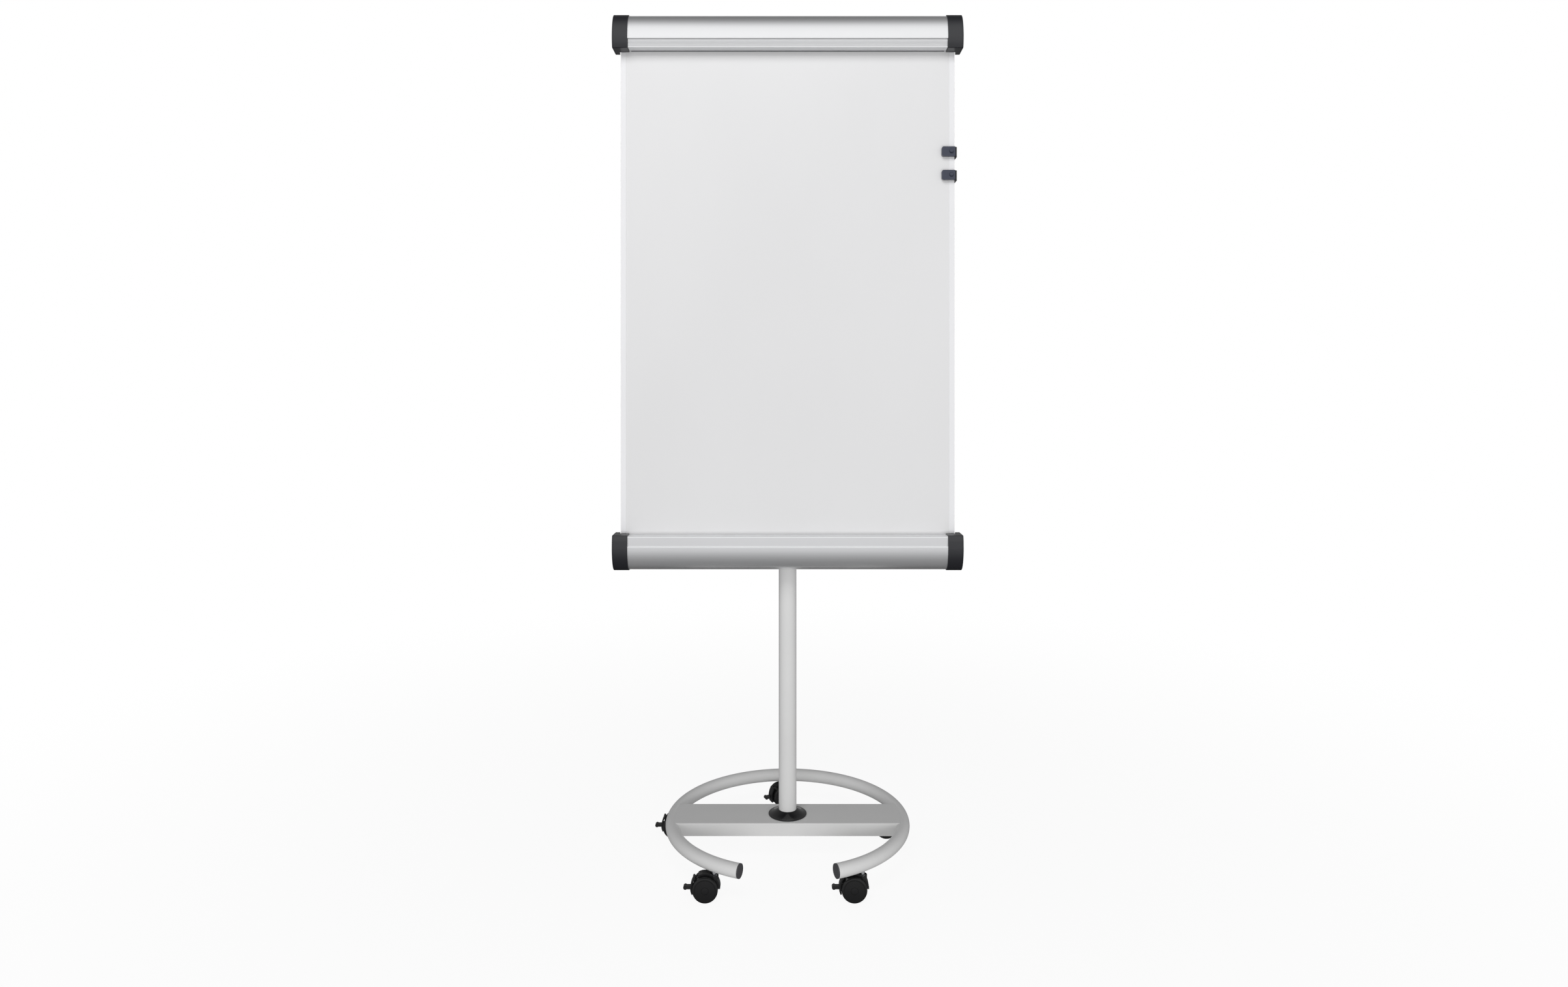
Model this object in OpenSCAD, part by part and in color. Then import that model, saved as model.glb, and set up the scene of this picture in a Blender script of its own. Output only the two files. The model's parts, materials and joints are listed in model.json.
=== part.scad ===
// Mobile flipchart easel: a height-adjustable writing board with a paper clamp,
// on a steel column that stands in a C-shaped ring base with five braked casters.
// Millimetres, +Z up, the board faces -Y, the floor is z = 0.

/* [Base] */
// Radius of the base ring, at the middle of its tube
ring_r = 247; // [235:1:260]
// Diameter of the ring tube
ring_tube_d = 28; // [27:0.5:32]
// Wall of the ring tube
ring_wall = 2; // [1.5:0.5:3]
// Half of the gap at the front of the ring, in degrees
ring_gap_half = 22.5; // [18:0.5:26]
// Height of the middle of the ring tube above the floor
ring_z = 69; // [69:0.5:73]
// Width of the cross beam, front to back
beam_w = 97; // [85:1:105]
// Height of the cross beam
beam_h = 27; // [26:0.5:27]
// Wall of the cross beam
beam_wall = 3; // [2:0.5:4]

/* [Column] */
// Diameter of the column
column_d = 38; // [36:0.5:40]
// Wall of the column tube
column_wall = 2; // [1.5:0.5:3]
// Height of the column's top above the floor
column_top = 1502; // [1480:1:1540]
// Diameter of the flared collar where it meets the beam
collar_d = 82; // [74:1:84]
// Height of the flared collar
collar_h = 11; // [9:1:20]

/* [Board] */
// Width of the board
board_w = 700; // [640:5:760]
// Height of the writing area between the two rails
board_h = 1013; // [950:1:1060]
// Height of the pen ledge above the floor
ledge_z = 691.5; // [665:0.5:700]
// Thickness of the board
board_t = 14; // [12:0.5:16]
// Distance of the writing face in front of the column's axis
board_front = 56; // [56:0.5:62]
// Width of the light trim down each side edge
trim_w = 11; // [8:0.5:14]

/* [Rails] */
// Height of the top and bottom rails
rail_h = 73; // [71:1:78]
// Greatest depth of the rails in front of the board
rail_bulge = 30.5; // [30:0.5:33]
// Depth of the pen ledge and of the clamp's underside
rail_ledge = 26.6; // [25:0.1:26.6]
// Height of the ribbed band on the clamp bar
top_band_h = 16; // [15:0.5:17]
// Height of the plain band under the pen ledge
bottom_band_h = 20.5; // [19:0.5:21]
// Length of each end cap along the rail
cap_len = 32; // [28:1:40]
// How far the end caps reach past the board's edge
cap_over = 14; // [12:1:18]

/* [Casters] */
// Diameter of the caster wheels
wheel_d = 50; // [48:1:50]
// Width of each of the twin wheels
wheel_w = 9.5; // [8:0.5:10]
// Distance of the wheel axle behind the swivel axis
caster_trail = 16; // [15:0.5:18]

/* [Hidden] */
$fn = 64;
CASTERS = ["front_left", "front_right", "side_left", "side_right", "rear"];
CASTER_ANGLES = [-36, 36, -108, 108, 180];
CASTER_TURNS = [0, 0, 0, 0, 25];
CASTER_PIECES = ["stem", "hood", "axle", "wheels", "brake"];

// Fits: a same-body gap, a moving gap and the radial play of a shaft in its hole
gap = 0.3;
play = 0.05;

// Half the space between the twin wheels, and how far their hubs stand out of their faces
wheel_gap_half = 9.9;
hub_crown = 1.2;

// The box of the whole easel is centred on the origin, so the column stands off it
front_reach = (ring_r + ring_tube_d / 2) * cos(ring_gap_half);
rear_reach = ring_r + (wheel_gap_half + wheel_w) * cos(CASTER_TURNS[4])
    + (wheel_d / 2 - caster_trail) * sin(CASTER_TURNS[4]);
column_y = (front_reach - rear_reach) / 2;

beam_bottom = ring_z - ring_tube_d / 2;
beam_top = beam_bottom + beam_h;
column_foot = beam_bottom + beam_wall;

face_y = -board_front;
back_y = face_y + board_t;
clamp_z = ledge_z + board_h;
panel_tuck = 60;
sheet_t = 0.7;
trim_t = 1.2;

// The rails' cross-section: x is the depth in front of the board, y the distance from its middle
rail_wall = 1.6;
arc_step = 1.5;
web_low = 6;
channel_low = 38;
channel_wall = 1.5;
band_out = 28;
pivot = [25.6, top_band_h + 2.2];
pivot_r = 2.8;
pin_d = 3;
screw_posts = [[7, 60], [24, 35]];
cap_shell = 2;
cap_end = 4;
cap_step = 4;
cap_x0 = board_w / 2 + cap_over - cap_len;

// The two guides on the column
guide_z = [902, 1302];
guide_h = 70;
bush_r = column_d / 2 + 2.7;
guide_r = bush_r + 5.3;
spine_half = 45;
spine_low = ledge_z - channel_low + 10;
spine_high = clamp_z + channel_low - 10;
spine_t = 2;
spine_back = -guide_r;
knob_y = guide_r + 13;

// Casters, measured from the swivel axis
hood_top = beam_bottom - 1.5;
boss_top = hood_top - 4.5;
hood_half = 8.7;
axle_d = 6;
stem_d = 10;
boss_r = 9.5;
recess_r = 7.6;
recess_z = boss_top - 5;
slot_half = 4.2;
lever_in = wheel_d / 2 + 1.6;
lever_out = lever_in + 3;

// The pad hooks and the accessory clips
hook_x = 205;
slot_low = 43;
slot_high = 55;
clip_z = [1493, 1444];
clip_w = 28;
clip_h = 20;
clip_t = 9;

// Placing helpers

module from_column() translate([0, column_y, 0]) children();

// Puts a rail's cross-section on the board: extruded along X about the middle
module rail_run(length) {
    translate([0, face_y, 0]) rotate([90, 0, -90]) linear_extrude(length, center = true) children();
}

module top_place() from_column() translate([0, 0, clamp_z]) children();

module bottom_place() from_column() translate([0, 0, ledge_z]) mirror([0, 0, 1]) children();

// One quarter of an ellipse, closed down to the board's face
module quarter(depth, height, low) {
    polygon(concat(
        [[0, low]],
        [for (i = [0:24]) [depth * cos(i * 3.75), low + (height - low) * sin(i * 3.75)]]
    ));
}

// The solid outline of a whole rail with a band b high, grown by m all round
module rail_outline(m, b) {
    union() {
        quarter(rail_bulge + m, rail_h + m, b + arc_step);
        polygon([[0, -m], [rail_ledge + m, -m], [band_out + m, b], [rail_bulge + m, b + arc_step + 0.01],
                 [0, b + arc_step + 0.01]]);
        translate([-board_t - channel_wall - m, channel_low - m])
            square([board_t + channel_wall + m + 0.01, rail_h - channel_low + 2 * m]);
    }
}

// Front arc, web on the board's face, rear channel, screw ports and the slot of the hooks
module fixed_profile(b) {
    arc_low = b + arc_step;
    difference() {
        union() {
            difference() {
                quarter(rail_bulge, rail_h, arc_low);
                difference() {
                    quarter(rail_bulge - rail_wall, rail_h - rail_wall, arc_low - 1);
                    square([rail_wall, rail_h]);
                }
            }
            translate([0, web_low]) square([rail_wall, rail_h - web_low - 0.5]);
            translate([-board_t - channel_wall, channel_low])
                square([channel_wall, rail_h - channel_low]);
            translate([-board_t - channel_wall, rail_h - channel_wall])
                square([board_t + channel_wall + 1, channel_wall]);
            for (p = screw_posts) translate(p) circle(d = 7);
            translate([0.5, screw_posts[0][1] - 1]) square([4, 2]);
            translate([screw_posts[1][0] + 2.5, screw_posts[1][1] - 1]) square([2.2, 2]);
        }
        for (p = screw_posts) translate(p) circle(d = 3.5);
    }
}

// Two facing hooks of the extrusion that hold the sliders of the pad hooks
module slot_lips() {
    for (s = [0, 1]) {
        h = s == 0 ? slot_low : slot_high;
        translate([0.5, h - 0.8]) square([6.1, 1.6]);
        translate([5, s == 0 ? h - 0.8 : h - 2.4]) square([1.6, 3.2]);
    }
}

// The slanted band b high: its front is plain, or has a row of shallow ribs
module band_front(b, ribs) {
    slope = (band_out - rail_ledge) / (b - 0.1);
    pitch = (b - 3.4) / max(ribs, 1);
    polygon(concat(
        [[rail_ledge - 2, 0], [rail_ledge, 0]],
        [for (i = [0:1:ribs - 1]) for (k = [0, 1, 2])
            let (h = 1.6 + (i + k * 0.4) * pitch)
            [rail_ledge + slope * h - (k == 1 ? 0.45 : 0), h]],
        [[band_out, b - 0.1], [band_out - rail_wall, b - 0.1], [rail_ledge - 0.4, rail_wall]]
    ));
}

// Base

module base_ring() {
    half = 180 - ring_gap_half;
    color([0.78, 0.79, 0.8]) from_column() difference() {
        translate([0, 0, ring_z]) rotate([0, 0, 90 - half]) rotate_extrude(angle = 2 * half, $fn = 160)
            translate([ring_r, 0]) difference() {
                circle(d = ring_tube_d);
                circle(d = ring_tube_d - 2 * ring_wall);
            }
        for (a = CASTER_ANGLES) rotate([0, 0, a]) translate([0, -ring_r, beam_bottom - 2])
            cylinder(d = stem_d + 0.2, h = ring_wall + 6);
    }
}

module ring_plugs() {
    bore = ring_tube_d - 2 * ring_wall;
    color([0.12, 0.12, 0.13]) from_column() for (s = [-1, 1])
        rotate([0, 0, s * ring_gap_half]) translate([0, -ring_r, ring_z]) rotate([0, s * 90, 0]) {
            translate([0, 0, -2.5]) cylinder(d = ring_tube_d, h = 2.45);
            cylinder(d = bore - 0.4, h = 14);
            translate([0, 0, -1]) cylinder(d = bore - 4, h = 2);
        }
}

module cross_beam() {
    color([0.76, 0.77, 0.78]) from_column() difference() {
        translate([-ring_r, -beam_w / 2, beam_bottom]) cube([2 * ring_r, beam_w, beam_h]);
        translate([-ring_r - 1, -beam_w / 2 + beam_wall, beam_bottom + beam_wall])
            cube([2 * ring_r + 2, beam_w - 2 * beam_wall, beam_h - 2 * beam_wall]);
        translate([0, 0, ring_z]) rotate_extrude($fn = 160) translate([ring_r, 0]) circle(d = ring_tube_d + 0.1);
        difference() {
            translate([-ring_r - 40, -beam_w, beam_bottom - 5]) cube([2 * ring_r + 80, 2 * beam_w, beam_h + 10]);
            translate([0, 0, beam_bottom - 6]) cylinder(r = ring_r, h = beam_h + 12, $fn = 160);
        }
        translate([0, 0, beam_top - beam_wall - 1]) cylinder(d = column_d + 0.4, h = beam_wall + 2);
        translate([0, 0, beam_bottom - 1]) cylinder(d = 10.5, h = beam_wall + 2);
    }
}

module flared_collar() {
    bore_r = column_d / 2 + 0.15;
    rim = collar_d / 2;
    throat = bore_r + 2.2;
    steps = 12;
    color([0.07, 0.07, 0.08]) from_column() translate([0, 0, beam_top]) rotate_extrude() polygon(concat(
        [[bore_r, 0], [rim, 0], [rim, 1.6]],
        [for (i = [0:steps]) let (t = i / steps)
            [rim - 1 - (rim - 1 - throat) * t, 2 + (collar_h - 2.6) * pow(t, 1.5)]],
        [[throat - 0.8, collar_h], [bore_r, collar_h]]
    ));
}

// Column

module column() {
    color([0.78, 0.79, 0.8]) from_column() translate([0, 0, column_foot]) difference() {
        cylinder(d = column_d, h = column_top - column_foot);
        translate([0, 0, -1]) cylinder(d = column_d - 2 * column_wall, h = column_top - column_foot + 2);
    }
}

module column_top_cap() {
    color([0.1, 0.1, 0.11]) from_column() translate([0, 0, column_top]) {
        cylinder(d = column_d, h = 2.5);
        translate([0, 0, 2.5]) cylinder(d1 = column_d, d2 = column_d - 4, h = 1.5);
        translate([0, 0, -18]) cylinder(d = column_d - 2 * column_wall - 0.2, h = 18);
    }
}

module column_foot_plug() {
    color([0.6, 0.6, 0.62]) from_column() translate([0, 0, column_foot + 0.1]) difference() {
        cylinder(d = column_d - 2 * column_wall - 0.1, h = 30);
        translate([0, 0, -1]) cylinder(d = 10.1, h = 32);
    }
}

module column_bolt() {
    color([0.7, 0.7, 0.72]) from_column() translate([0, 0, beam_bottom]) {
        translate([0, 0, -2]) difference() {
            cylinder(d = 24, h = 1.9);
            translate([0, 0, -1]) cylinder(d = 10.2, h = 4);
        }
        translate([0, 0, -8.5]) cylinder(d = 18.9, h = 6.4, $fn = 6);
        translate([0, 0, -2.2]) cylinder(d = 10, h = 32);
    }
}

// Board

module panel_core() {
    side = board_w / 2 - trim_t - 0.1;
    color([0.62, 0.62, 0.61]) from_column()
        translate([-side, face_y + sheet_t + 0.05, ledge_z - panel_tuck])
            cube([2 * side, board_t - sheet_t - 0.1, board_h + 2 * panel_tuck]);
}

module writing_sheet() {
    side = board_w / 2 - trim_t - 0.1;
    color([0.9, 0.9, 0.91]) from_column() translate([-side, face_y + 0.05, ledge_z - panel_tuck])
        cube([2 * side, sheet_t - 0.05, board_h + 2 * panel_tuck]);
}

// Channels over the side edges: a thin front leg overlaps the writing sheet, and the end caps end them
module edge_trims() {
    inset = cap_shell + gap;
    color([0.92, 0.92, 0.93]) from_column() for (s = [-1, 1])
        translate([s * board_w / 2, face_y, ledge_z + inset]) mirror([s > 0 ? 1 : 0, 0, 0])
            linear_extrude(board_h - 2 * inset) difference() {
                translate([0, -0.8]) square([trim_w, board_t + 1.6]);
                translate([trim_t, 0]) square([trim_w, board_t]);
            }
}

module top_rail() {
    color([0.8, 0.81, 0.82]) top_place() rail_run(board_w + 2 * cap_over - 2 * cap_end - 0.4) {
        fixed_profile(top_band_h);
        slot_lips();
    }
}

// The lower rail is one piece: the same arc, with the pen ledge and the band joined on
module bottom_rail() {
    b = bottom_band_h;
    color([0.8, 0.81, 0.82]) bottom_place() rail_run(board_w + 2 * cap_over - 2 * cap_end - 0.4) {
        fixed_profile(b);
        square([rail_ledge - 1, rail_wall]);
        translate([0, 0.2]) square([rail_wall, web_low + 1]);
        band_front(b, 0);
        polygon([[band_out - rail_wall, b - 0.4], [band_out - 0.8, b - 0.4],
                 [rail_bulge - 0.9, b + arc_step + 0.1], [rail_bulge - rail_wall, b + arc_step + 0.1]]);
    }
}

// A cap is a shell over the rail's end. Its outer part, a little way past the board's edge,
// also covers the board's thickness
module rail_cap(side, b) {
    back = board_t + channel_wall + cap_shell;
    mirror([side > 0 ? 0 : 1, 0, 0]) difference() {
        union() {
            translate([cap_x0 + cap_len / 2, 0, 0]) rail_run(cap_len) rail_outline(cap_shell, b);
            translate([board_w / 2 + cap_step, face_y - 1, -cap_shell])
                cube([cap_over - cap_step, back + 1, rail_h + 2 * cap_shell]);
        }
        translate([cap_x0 + (cap_len - cap_end) / 2 - 1, 0, 0]) rail_run(cap_len - cap_end + 2)
            rail_outline(0.15, b);
        translate([cap_x0 - 1, face_y - 0.1, -20])
            cube([cap_len - cap_over + 1 + gap, board_t + 0.3, 70]);
        for (p = screw_posts) translate([board_w / 2 + cap_over, face_y - p[0], p[1]]) rotate([0, 90, 0]) {
            translate([0, 0, -cap_end - 2]) cylinder(d = 4, h = 10);
            translate([0, 0, -1.4]) cylinder(d = 7.4, h = 4);
        }
    }
}

// The top caps also hold the clamp's pins
module top_cap(side) {
    color([0.17, 0.17, 0.19]) top_place() difference() {
        rail_cap(side, top_band_h);
        mirror([side > 0 ? 0 : 1, 0, 0]) translate([cap_x0 - 1, face_y - pivot[0], pivot[1]])
            rotate([0, 90, 0]) cylinder(d = pin_d + 0.04, h = cap_len - 0.5);
    }
}

module bottom_cap(side) color([0.17, 0.17, 0.19]) bottom_place() rail_cap(side, bottom_band_h);

module top_cap_left() top_cap(-1);
module top_cap_right() top_cap(1);
module bottom_cap_left() bottom_cap(-1);
module bottom_cap_right() bottom_cap(1);

module cap_screws_one_rail() {
    for (s = [0, 1]) mirror([s, 0, 0]) for (p = screw_posts)
        translate([board_w / 2 + cap_over, face_y - p[0], p[1]]) rotate([0, 90, 0]) difference() {
            union() {
                translate([0, 0, -1.3]) cylinder(d = 7, h = 1.3);
                translate([0, 0, -18]) cylinder(d = 3.3, h = 17);
            }
            translate([-2, -0.4, -0.7]) cube([4, 0.8, 2]);
            translate([-0.4, -2, -0.7]) cube([0.8, 4, 2]);
        }
}

module cap_screws() {
    color([0.6, 0.6, 0.62]) {
        top_place() cap_screws_one_rail();
        bottom_place() cap_screws_one_rail();
    }
}

// Rear structure

// Hat section between the two rails, its brims on the back of the panel
module rear_spine() {
    color([0.7, 0.71, 0.72]) from_column() difference() {
        translate([0, 0, spine_low]) linear_extrude(spine_high - spine_low) {
            translate([-spine_half, spine_back - spine_t]) square([2 * spine_half, spine_t]);
            for (s = [0, 1]) mirror([s, 0]) {
                translate([spine_half - spine_t, back_y]) square([spine_t, spine_back - back_y]);
                translate([spine_half - spine_t, back_y]) square([20, spine_t]);
            }
        }
        for (z = guide_z) for (x = [-1, 1]) for (h = [-1, 1])
            translate([x * 33, spine_back + 1, z + h * 24]) rotate([90, 0, 0]) cylinder(d = 5.4, h = 4);
    }
}

module bracket_body() {
    cylinder(r = guide_r, h = guide_h, center = true);
    translate([-42, spine_back + 0.05, -guide_h / 2]) cube([84, 7, guide_h]);
    translate([-guide_r, spine_back + 0.05, -guide_h / 2]) cube([2 * guide_r, guide_r, guide_h]);
}

module bracket_holes() {
    cylinder(r = bush_r + 0.05, h = guide_h + 2, center = true);
    for (x = [-1, 1]) for (h = [-1, 1]) translate([x * 33, 0, h * 24]) rotate([90, 0, 0])
        cylinder(d = 5.4, h = guide_r + 5);
}

module upper_bracket() {
    color([0.15, 0.15, 0.16]) from_column() translate([0, 0, guide_z[1]]) difference() {
        bracket_body();
        bracket_holes();
    }
}

module lower_bracket() {
    color([0.15, 0.15, 0.16]) from_column() translate([0, 0, guide_z[0]]) difference() {
        union() {
            bracket_body();
            rotate([-90, 0, 0]) cylinder(d = 22, h = guide_r + 9);
        }
        bracket_holes();
        rotate([-90, 0, 0]) cylinder(d = 8 + 2 * play, h = guide_r + 20);
    }
}

module guide_bushes() {
    color([0.85, 0.85, 0.84]) from_column() for (i = [0, 1]) translate([0, 0, guide_z[i]]) difference() {
        union() {
            cylinder(r = bush_r, h = guide_h + 5, center = true);
            for (s = [-1, 1]) translate([0, 0, s * (guide_h / 2 + 1.3)])
                cylinder(r = bush_r + 3, h = 2.5, center = true);
        }
        cylinder(r = column_d / 2 + 0.1, h = guide_h + 12, center = true);
        if (i == 0) rotate([-90, 0, 0]) cylinder(d = 8.6, h = 60);
    }
}

module bracket_screws() {
    color([0.62, 0.62, 0.64]) from_column() for (z = guide_z) for (x = [-1, 1]) for (h = [-1, 1])
        translate([x * 33, spine_back + 7.1, z + h * 24]) rotate([90, 0, 0]) {
            translate([0, 0, -3]) difference() {
                cylinder(d = 9.5, h = 3);
                translate([0, 0, -1]) cylinder(d = 4.6, h = 3, $fn = 6);
            }
            cylinder(d = 5, h = 10);
        }
}

// Height clamp

module clamp_knob() {
    color([0.1, 0.1, 0.11]) from_column() translate([0, knob_y, guide_z[0]]) rotate([-90, 0, 0]) difference() {
        union() {
            cylinder(d = 20, h = 10);
            translate([0, 0, 8]) {
                cylinder(d = 40, h = 14);
                for (i = [0:5]) rotate([0, 0, i * 60]) translate([19, 0, 0]) cylinder(d = 13, h = 14);
            }
        }
        for (i = [0:5]) rotate([0, 0, i * 60 + 30]) translate([26.5, 0, 7]) cylinder(d = 14, h = 16);
        translate([0, 0, -1]) cylinder(d = 8, h = 16);
    }
}

module knob_screw() {
    y0 = column_d / 2 + 0.5;
    color([0.72, 0.72, 0.74]) from_column() translate([0, y0, guide_z[0]]) rotate([-90, 0, 0])
        cylinder(d = 8, h = knob_y + 15 - y0);
}

// Paper clamp

// Extruded bar: ribbed band, underside and the bored bead that it turns on
module clamp_bar() {
    half = cap_x0 - 0.6;
    b = top_band_h;
    color([0.8, 0.81, 0.82]) top_place() rail_run(2 * half) difference() {
        union() {
            translate([3.2, 0]) square([rail_ledge - 4.2, rail_wall]);
            translate([3.2, 0]) square([rail_wall, 5]);
            band_front(b, 8);
            translate(pivot) circle(r = pivot_r);
            polygon([[band_out - 3.6, b - 4], [band_out - 1.2, b - 4], [band_out - 0.2, b - 0.1],
                     [pivot[0] + 0.5, pivot[1] - 1.8], [pivot[0] - 2, pivot[1] - 1.5]]);
        }
        translate(pivot) circle(d = pin_d + 2 * play);
    }
}

module clamp_strip() {
    color([0.2, 0.2, 0.21]) top_place() rail_run(2 * cap_x0 - 8) {
        translate([0.45, -0.4]) square([2.7, 5]);
    }
}

module clamp_pins() {
    color([0.75, 0.75, 0.77]) top_place() for (s = [0, 1]) mirror([s, 0, 0])
        translate([cap_x0 - 22, face_y - pivot[0], pivot[1]]) rotate([0, 90, 0])
            cylinder(d = pin_d, h = 22 + cap_len - cap_end + 1.5);
}

// Coils round each pin, inside the cap
module clamp_springs() {
    wire = 0.9;
    color([0.55, 0.56, 0.58]) top_place() for (s = [0, 1]) mirror([s, 0, 0])
        translate([cap_x0 + 6, face_y - pivot[0], pivot[1]]) rotate([0, 90, 0]) {
            for (i = [0:7]) translate([0, 0, i * 0.85]) rotate_extrude() translate([pin_d / 2 + 0.15 + wire / 2, 0])
                circle(d = wire, $fn = 16);
        }
}

// A slider in the rail's slot with a drop arm and a peg for the punched sheets
module pad_hook() {
    t = 2.4;
    color([0.14, 0.14, 0.15]) top_place() translate([0, face_y, 0]) {
        translate([-15, -4.6, slot_low + 1.15]) cube([30, t, slot_high - slot_low - 2.3]);
        translate([-5, -9.6, slot_low + 2.8]) cube([10, 5.6, slot_high - slot_low - 5.6]);
        translate([-5, -9.6, 9]) cube([10, t, slot_high - 11.8]);
        translate([0, -1.6 - gap, 13]) rotate([90, 0, 0]) cylinder(d = 6, h = 13);
        translate([0, -1.6 - gap - 13, 13]) sphere(d = 6, $fn = 32);
    }
}

module pad_hook_left() translate([-hook_x, 0, 0]) pad_hook();
module pad_hook_right() translate([hook_x, 0, 0]) pad_hook();

// Accessory clips on the right edge of the board

module clip_block(z) {
    r = 4;
    x0 = board_w / 2 + gap - clip_w;
    color([0.29, 0.31, 0.36]) from_column() translate([x0, face_y - 0.8 - gap, z]) {
        rotate([90, 0, 0]) linear_extrude(clip_t) difference() {
            union() {
                translate([r, -clip_h / 2 + r]) circle(r = r);
                translate([r, clip_h / 2 - r]) circle(r = r);
                translate([0, -clip_h / 2 + r]) square([clip_w, clip_h - 2 * r]);
                translate([r, -clip_h / 2]) square([clip_w - r, clip_h]);
            }
        }
        translate([clip_w - 8, -clip_t, 0.5]) rotate([90, 0, 0]) {
            cylinder(d1 = 9.5, d2 = 8, h = 3);
            translate([0, 0, 3]) cylinder(d1 = 8, d2 = 5, h = 1);
        }
    }
}

// Leaf that runs round the board's edge and grips its back
module clip_jaw(z) {
    t = 3;
    low = clip_h / 2 + 3;
    color([0.1, 0.1, 0.12]) from_column() translate([board_w / 2 + gap, 0, z]) {
        translate([0, face_y - 0.8 - gap - clip_t, -low]) cube([t, clip_t + board_t + 1.6 + 2 * gap + 2.4, low + 9]);
        translate([-24, back_y + 0.8 + gap, -7]) cube([24 + t, 2.4, 14]);
    }
}

module upper_clip_block() clip_block(clip_z[0]);
module upper_clip_jaw() clip_jaw(clip_z[0]);
module lower_clip_block() clip_block(clip_z[1]);
module lower_clip_jaw() clip_jaw(clip_z[1]);

// Casters: each piece is drawn with the swivel axis at the origin and the wheels trailing to -X.
// The rear one has swivelled a little from there

module at_caster(i) {
    from_column() rotate([0, 0, CASTER_ANGLES[i]]) translate([0, -ring_r, 0])
        rotate([0, 0, CASTER_TURNS[i] - CASTER_ANGLES[i]]) children();
}

module at_axle() translate([-caster_trail, 0, wheel_d / 2]) rotate([90, 0, 0]) children();

module caster_stem() {
    color([0.72, 0.72, 0.74]) {
        translate([0, 0, 33]) cylinder(d = stem_d - 2, h = recess_z - 33 + 2);
        translate([0, 0, recess_z + gap]) cylinder(d = 13, h = 3.4, $fn = 6);
        translate([0, 0, recess_z + 3]) cylinder(d = stem_d, h = beam_bottom - recess_z + 12);
    }
}

// Two cheeks with a slot for the brake lever, an arch over it and the boss of the swivel
module caster_hood() {
    r = wheel_d / 2 + 4;
    color([0.13, 0.13, 0.14]) difference() {
        union() {
            at_axle() cylinder(r = wheel_d / 2 - 1.5, h = 2 * hood_half, center = true);
            intersection() {
                at_axle() cylinder(r = r, h = 2 * hood_half, center = true);
                translate([-caster_trail - 14, -hood_half, 24]) cube([60, 2 * hood_half, hood_top - 24]);
            }
            translate([0, 0, 30]) cylinder(r = boss_r, h = boss_top - 30);
            translate([-4, -hood_half, 22]) cube([2 + boss_r, 2 * hood_half, boss_top - 30]);
        }
        translate([0, 0, recess_z]) cylinder(r = recess_r, h = 20);
        translate([0, 0, 31]) cylinder(d = stem_d - 2 + 2 * play, h = 40);
        at_axle() cylinder(d = axle_d + 0.04, h = 60, center = true);
        at_axle() cylinder(r = wheel_d / 2 - 6, h = 2 * slot_half, center = true);
        translate([-caster_trail - 40, -slot_half, 2]) cube([40, 2 * slot_half, wheel_d / 2 + 14]);
        translate([-caster_trail - 40, -slot_half, -2]) cube([40 + 16, 2 * slot_half, wheel_d / 2]);
    }
}

module caster_axle() {
    color([0.72, 0.72, 0.74]) at_axle() cylinder(d = axle_d, h = 2 * (wheel_gap_half + wheel_w) - 5, center = true);
}

// A pair of wheels with rounded shoulders and a shallow dished face
module caster_wheels() {
    r = wheel_d / 2;
    s = 3.5;
    color([0.09, 0.09, 0.1]) at_axle() for (m = [0, 1]) mirror([0, 0, m]) translate([0, 0, wheel_gap_half])
        rotate_extrude() difference() {
            union() {
                square([r - s, wheel_w]);
                square([r, wheel_w - s]);
                translate([r - s, wheel_w - s]) circle(r = s, $fn = 32);
                translate([0, wheel_w - 0.01]) polygon([[0, 0], [0, hub_crown], [r * 0.45, hub_crown * 0.8], [r * 0.8, 0]]);
            }
            translate([-1, -1]) square([axle_d / 2 + play + 1, wheel_w - 1.1]);
            translate([r - 12, -1]) square([6, 2.6]);
        }
}

// Lever turning on the axle: a central plate, a shoe along the tread and the foot tab
module caster_brake() {
    w = 8;
    plate = 2 * slot_half - 2 * gap;
    tab = 11.3;
    color([0.12, 0.12, 0.13]) difference() {
        union() {
            at_axle() {
                rotate([0, 0, 137]) rotate_extrude(angle = 69)
                    translate([lever_in, -w]) square([lever_out - lever_in, 2 * w]);
                rotate([0, 0, 140.5]) translate([lever_out - 0.4, 0, 0]) cylinder(r = 2.3, h = 2 * w - 0.4, center = true);
                rotate([0, 0, 182]) translate([0, -7, -plate / 2]) cube([lever_in + 1.2, 14, plate]);
                cylinder(r = 9, h = plate, center = true);
            }
            translate([-caster_trail - lever_in - 1.5, 0, wheel_d / 2 - 0.5]) {
                translate([-tab, -5, -2.9]) cube([tab, 10, 5.8]);
                translate([-tab, 0, 0]) rotate([90, 0, 0]) cylinder(d = 8, h = 10, center = true);
            }
        }
        at_axle() cylinder(d = axle_d + 2 * play, h = 60, center = true);
    }
}

base_ring();
ring_plugs();
cross_beam();
column();
column_top_cap();
column_foot_plug();
column_bolt();
flared_collar();
writing_sheet();
panel_core();
edge_trims();
top_rail();
bottom_rail();
top_cap_left();
top_cap_right();
bottom_cap_left();
bottom_cap_right();
cap_screws();
rear_spine();
upper_bracket();
lower_bracket();
guide_bushes();
bracket_screws();
clamp_knob();
knob_screw();
clamp_bar();
clamp_strip();
clamp_pins();
clamp_springs();
pad_hook_left();
pad_hook_right();
upper_clip_block();
upper_clip_jaw();
lower_clip_block();
lower_clip_jaw();
for (i = [0:len(CASTERS) - 1]) {
    name = str("caster_", CASTERS[i], "_");
    at_caster(i) caster_stem();
    at_caster(i) caster_hood();
    at_caster(i) caster_axle();
    at_caster(i) caster_wheels();
    at_caster(i) caster_brake();
}
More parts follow.
